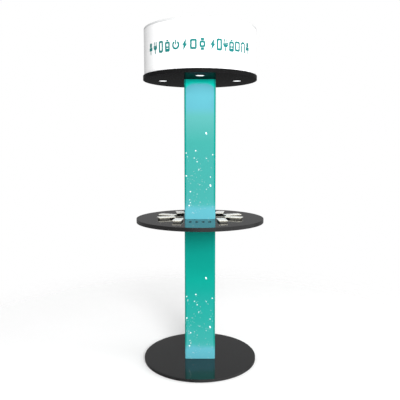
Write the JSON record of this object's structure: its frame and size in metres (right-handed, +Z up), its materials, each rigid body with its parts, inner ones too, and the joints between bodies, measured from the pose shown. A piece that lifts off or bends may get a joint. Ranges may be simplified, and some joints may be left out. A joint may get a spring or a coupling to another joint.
{
  "type": "phone charging kiosk",
  "caption": "Free-standing charging kiosk: round base, rectangular column, round counter with raised pads and sockets, and a round lit header; service door at the back.",
  "frame": {"origin": "on the floor under the middle of the base", "axes": "+Z up; -Y is the front, where the header's artwork faces; the service door is on the +Y side"},
  "size_m": [0.8254, 0.8254, 2.134],
  "materials": {
    "black_laminate": "semi-gloss black laminate over board",
    "black_rubber": "matte moulded rubber",
    "steel_plate": "mill-finish steel",
    "zinc_steel": "bright zinc plating",
    "lock_chrome": "polished chrome plating",
    "printed_skin": "satin printed film in teal and light blue over sheet aluminium",
    "drum_white": "satin white",
    "pad_white": "satin off-white",
    "lamp_lens": "lit opal diffuser",
    "black_plastic": "fine moulded texture",
    "supply_case": "folded sheet case",
    "driver_case": "moulded case",
    "copper": "enamelled copper winding",
    "lead_jacket": "satin cable jacket"
  },
  "bodies": {
    "kiosk": {"base_disc": "black_laminate", "counter_top": "black_laminate", "header_plate": "black_laminate", "floor_pad": "black_rubber", "ballast_plate": "steel_plate", "foot_plate": "steel_plate", "head_plate": "steel_plate", "upright_left": "steel_plate", "upright_right": "steel_plate", "mast": "steel_plate", "foot_bolt_1": "zinc_steel", "foot_bolt_2": "zinc_steel", "foot_bolt_3": "zinc_steel", "foot_bolt_4": "zinc_steel", "hinge_leaf_frame": "zinc_steel", "hinge_pin": "zinc_steel", "equipment_plate": "zinc_steel", "lower_column_shell": "printed_skin", "upper_column_shell": "printed_skin", "header_drum": "drum_white", "header_lid": "drum_white", "charging_pad_1": "pad_white", "charging_pad_2": "pad_white", "charging_pad_3": "pad_white", "charging_pad_4": "pad_white", "charging_pad_5": "pad_white", "charging_pad_6": "pad_white", "charging_pad_7": "pad_white", "charging_pad_8": "pad_white", "lamp_lens_front": "lamp_lens", "lamp_lens_right": "lamp_lens", "lamp_lens_back": "lamp_lens", "lamp_lens_left": "lamp_lens", "power_inlet": "black_plastic", "usb_strip_front": "black_plastic", "usb_strip_rear": "black_plastic", "usb_hub": "black_plastic", "wire_cover": "black_plastic", "lamp_housing_front": "black_plastic", "lamp_housing_right": "black_plastic", "lamp_housing_back": "black_plastic", "lamp_housing_left": "black_plastic", "power_supply": "supply_case", "led_driver": "driver_case", "charging_coil_1": "copper", "charging_coil_2": "copper", "charging_coil_3": "copper", "charging_coil_4": "copper", "charging_coil_5": "copper", "charging_coil_6": "copper", "charging_coil_7": "copper", "charging_coil_8": "copper", "header_lead": "lead_jacket", "mains_lead": "lead_jacket"},
    "service_door": {"access_door": "printed_skin", "hinge_leaf_door": "zinc_steel", "lock_body": "lock_chrome"},
    "lock": {"lock_plug": "lock_chrome"},
    "rocker": {"power_switch": "black_plastic"},
    "fuse": {"fuse_drawer": "black_plastic"}
  },
  "joints": [
    {"name": "door_swing", "type": "hinge", "parent": "kiosk", "child": "service_door", "pos_m": [0.072, 0.0828, 0.535], "axis": [0, 0, -1], "range_deg": [0, 110]},
    {"name": "lock_turn", "type": "hinge", "parent": "service_door", "child": "lock", "pos_m": [-0.058, 0.08, 0.535], "axis": [0, 1, 0], "range_deg": [0, 90]},
    {"name": "switch_rock", "type": "hinge", "parent": "kiosk", "child": "rocker", "pos_m": [0, 0.0803, 0.129], "axis": [-1, 0, 0], "range_deg": [0, 16]},
    {"name": "fuse_slide", "type": "slide", "parent": "kiosk", "child": "fuse", "axis": [0, 1, 0], "range_m": [0, 0.02]}
  ]
}
